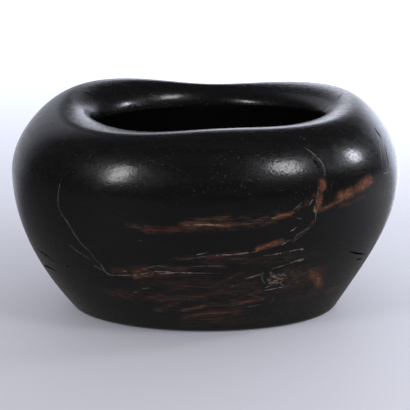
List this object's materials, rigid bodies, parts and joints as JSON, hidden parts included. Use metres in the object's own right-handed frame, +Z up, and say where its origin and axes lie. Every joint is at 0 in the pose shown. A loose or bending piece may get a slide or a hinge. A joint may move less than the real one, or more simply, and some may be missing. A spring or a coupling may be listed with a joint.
{
  "type": "wooden bowl",
  "caption": "Freeform wooden bowl carved from one dark block, with a fat rolled rim, an oval mouth, a hollow that widens below it, and a flat oval foot.",
  "frame": {"origin": "middle of the foot's flat face, on the surface that the bowl stands on", "axes": "+Z up; +X along the grain, to the right end of the bowl; -Y towards the front, the face that the picture shows"},
  "size_m": [0.3, 0.23, 0.1698],
  "materials": {
    "black_wood": "hand-polished, satin to semi-gloss, with fine pores along the grain",
    "pale_filler": "matt, rubbed down flush with the wood",
    "straw_filler": "matt, rubbed down flush with the wood"
  },
  "bodies": {
    "root": {"bowl_body": "black_wood", "left_seam_fill": "pale_filler", "left_branch_fill": "pale_filler", "upper_right_seam_fill": "pale_filler", "right_seam_fill": "pale_filler", "upper_streak_fill": "pale_filler", "middle_streak_fill": "pale_filler", "lower_streak_fill": "pale_filler", "short_dash_fill": "pale_filler", "right_dash_fill": "pale_filler", "knot_upper_fill": "pale_filler", "knot_lower_fill": "pale_filler", "knot_plug": "straw_filler"}
  },
  "joints": []
}
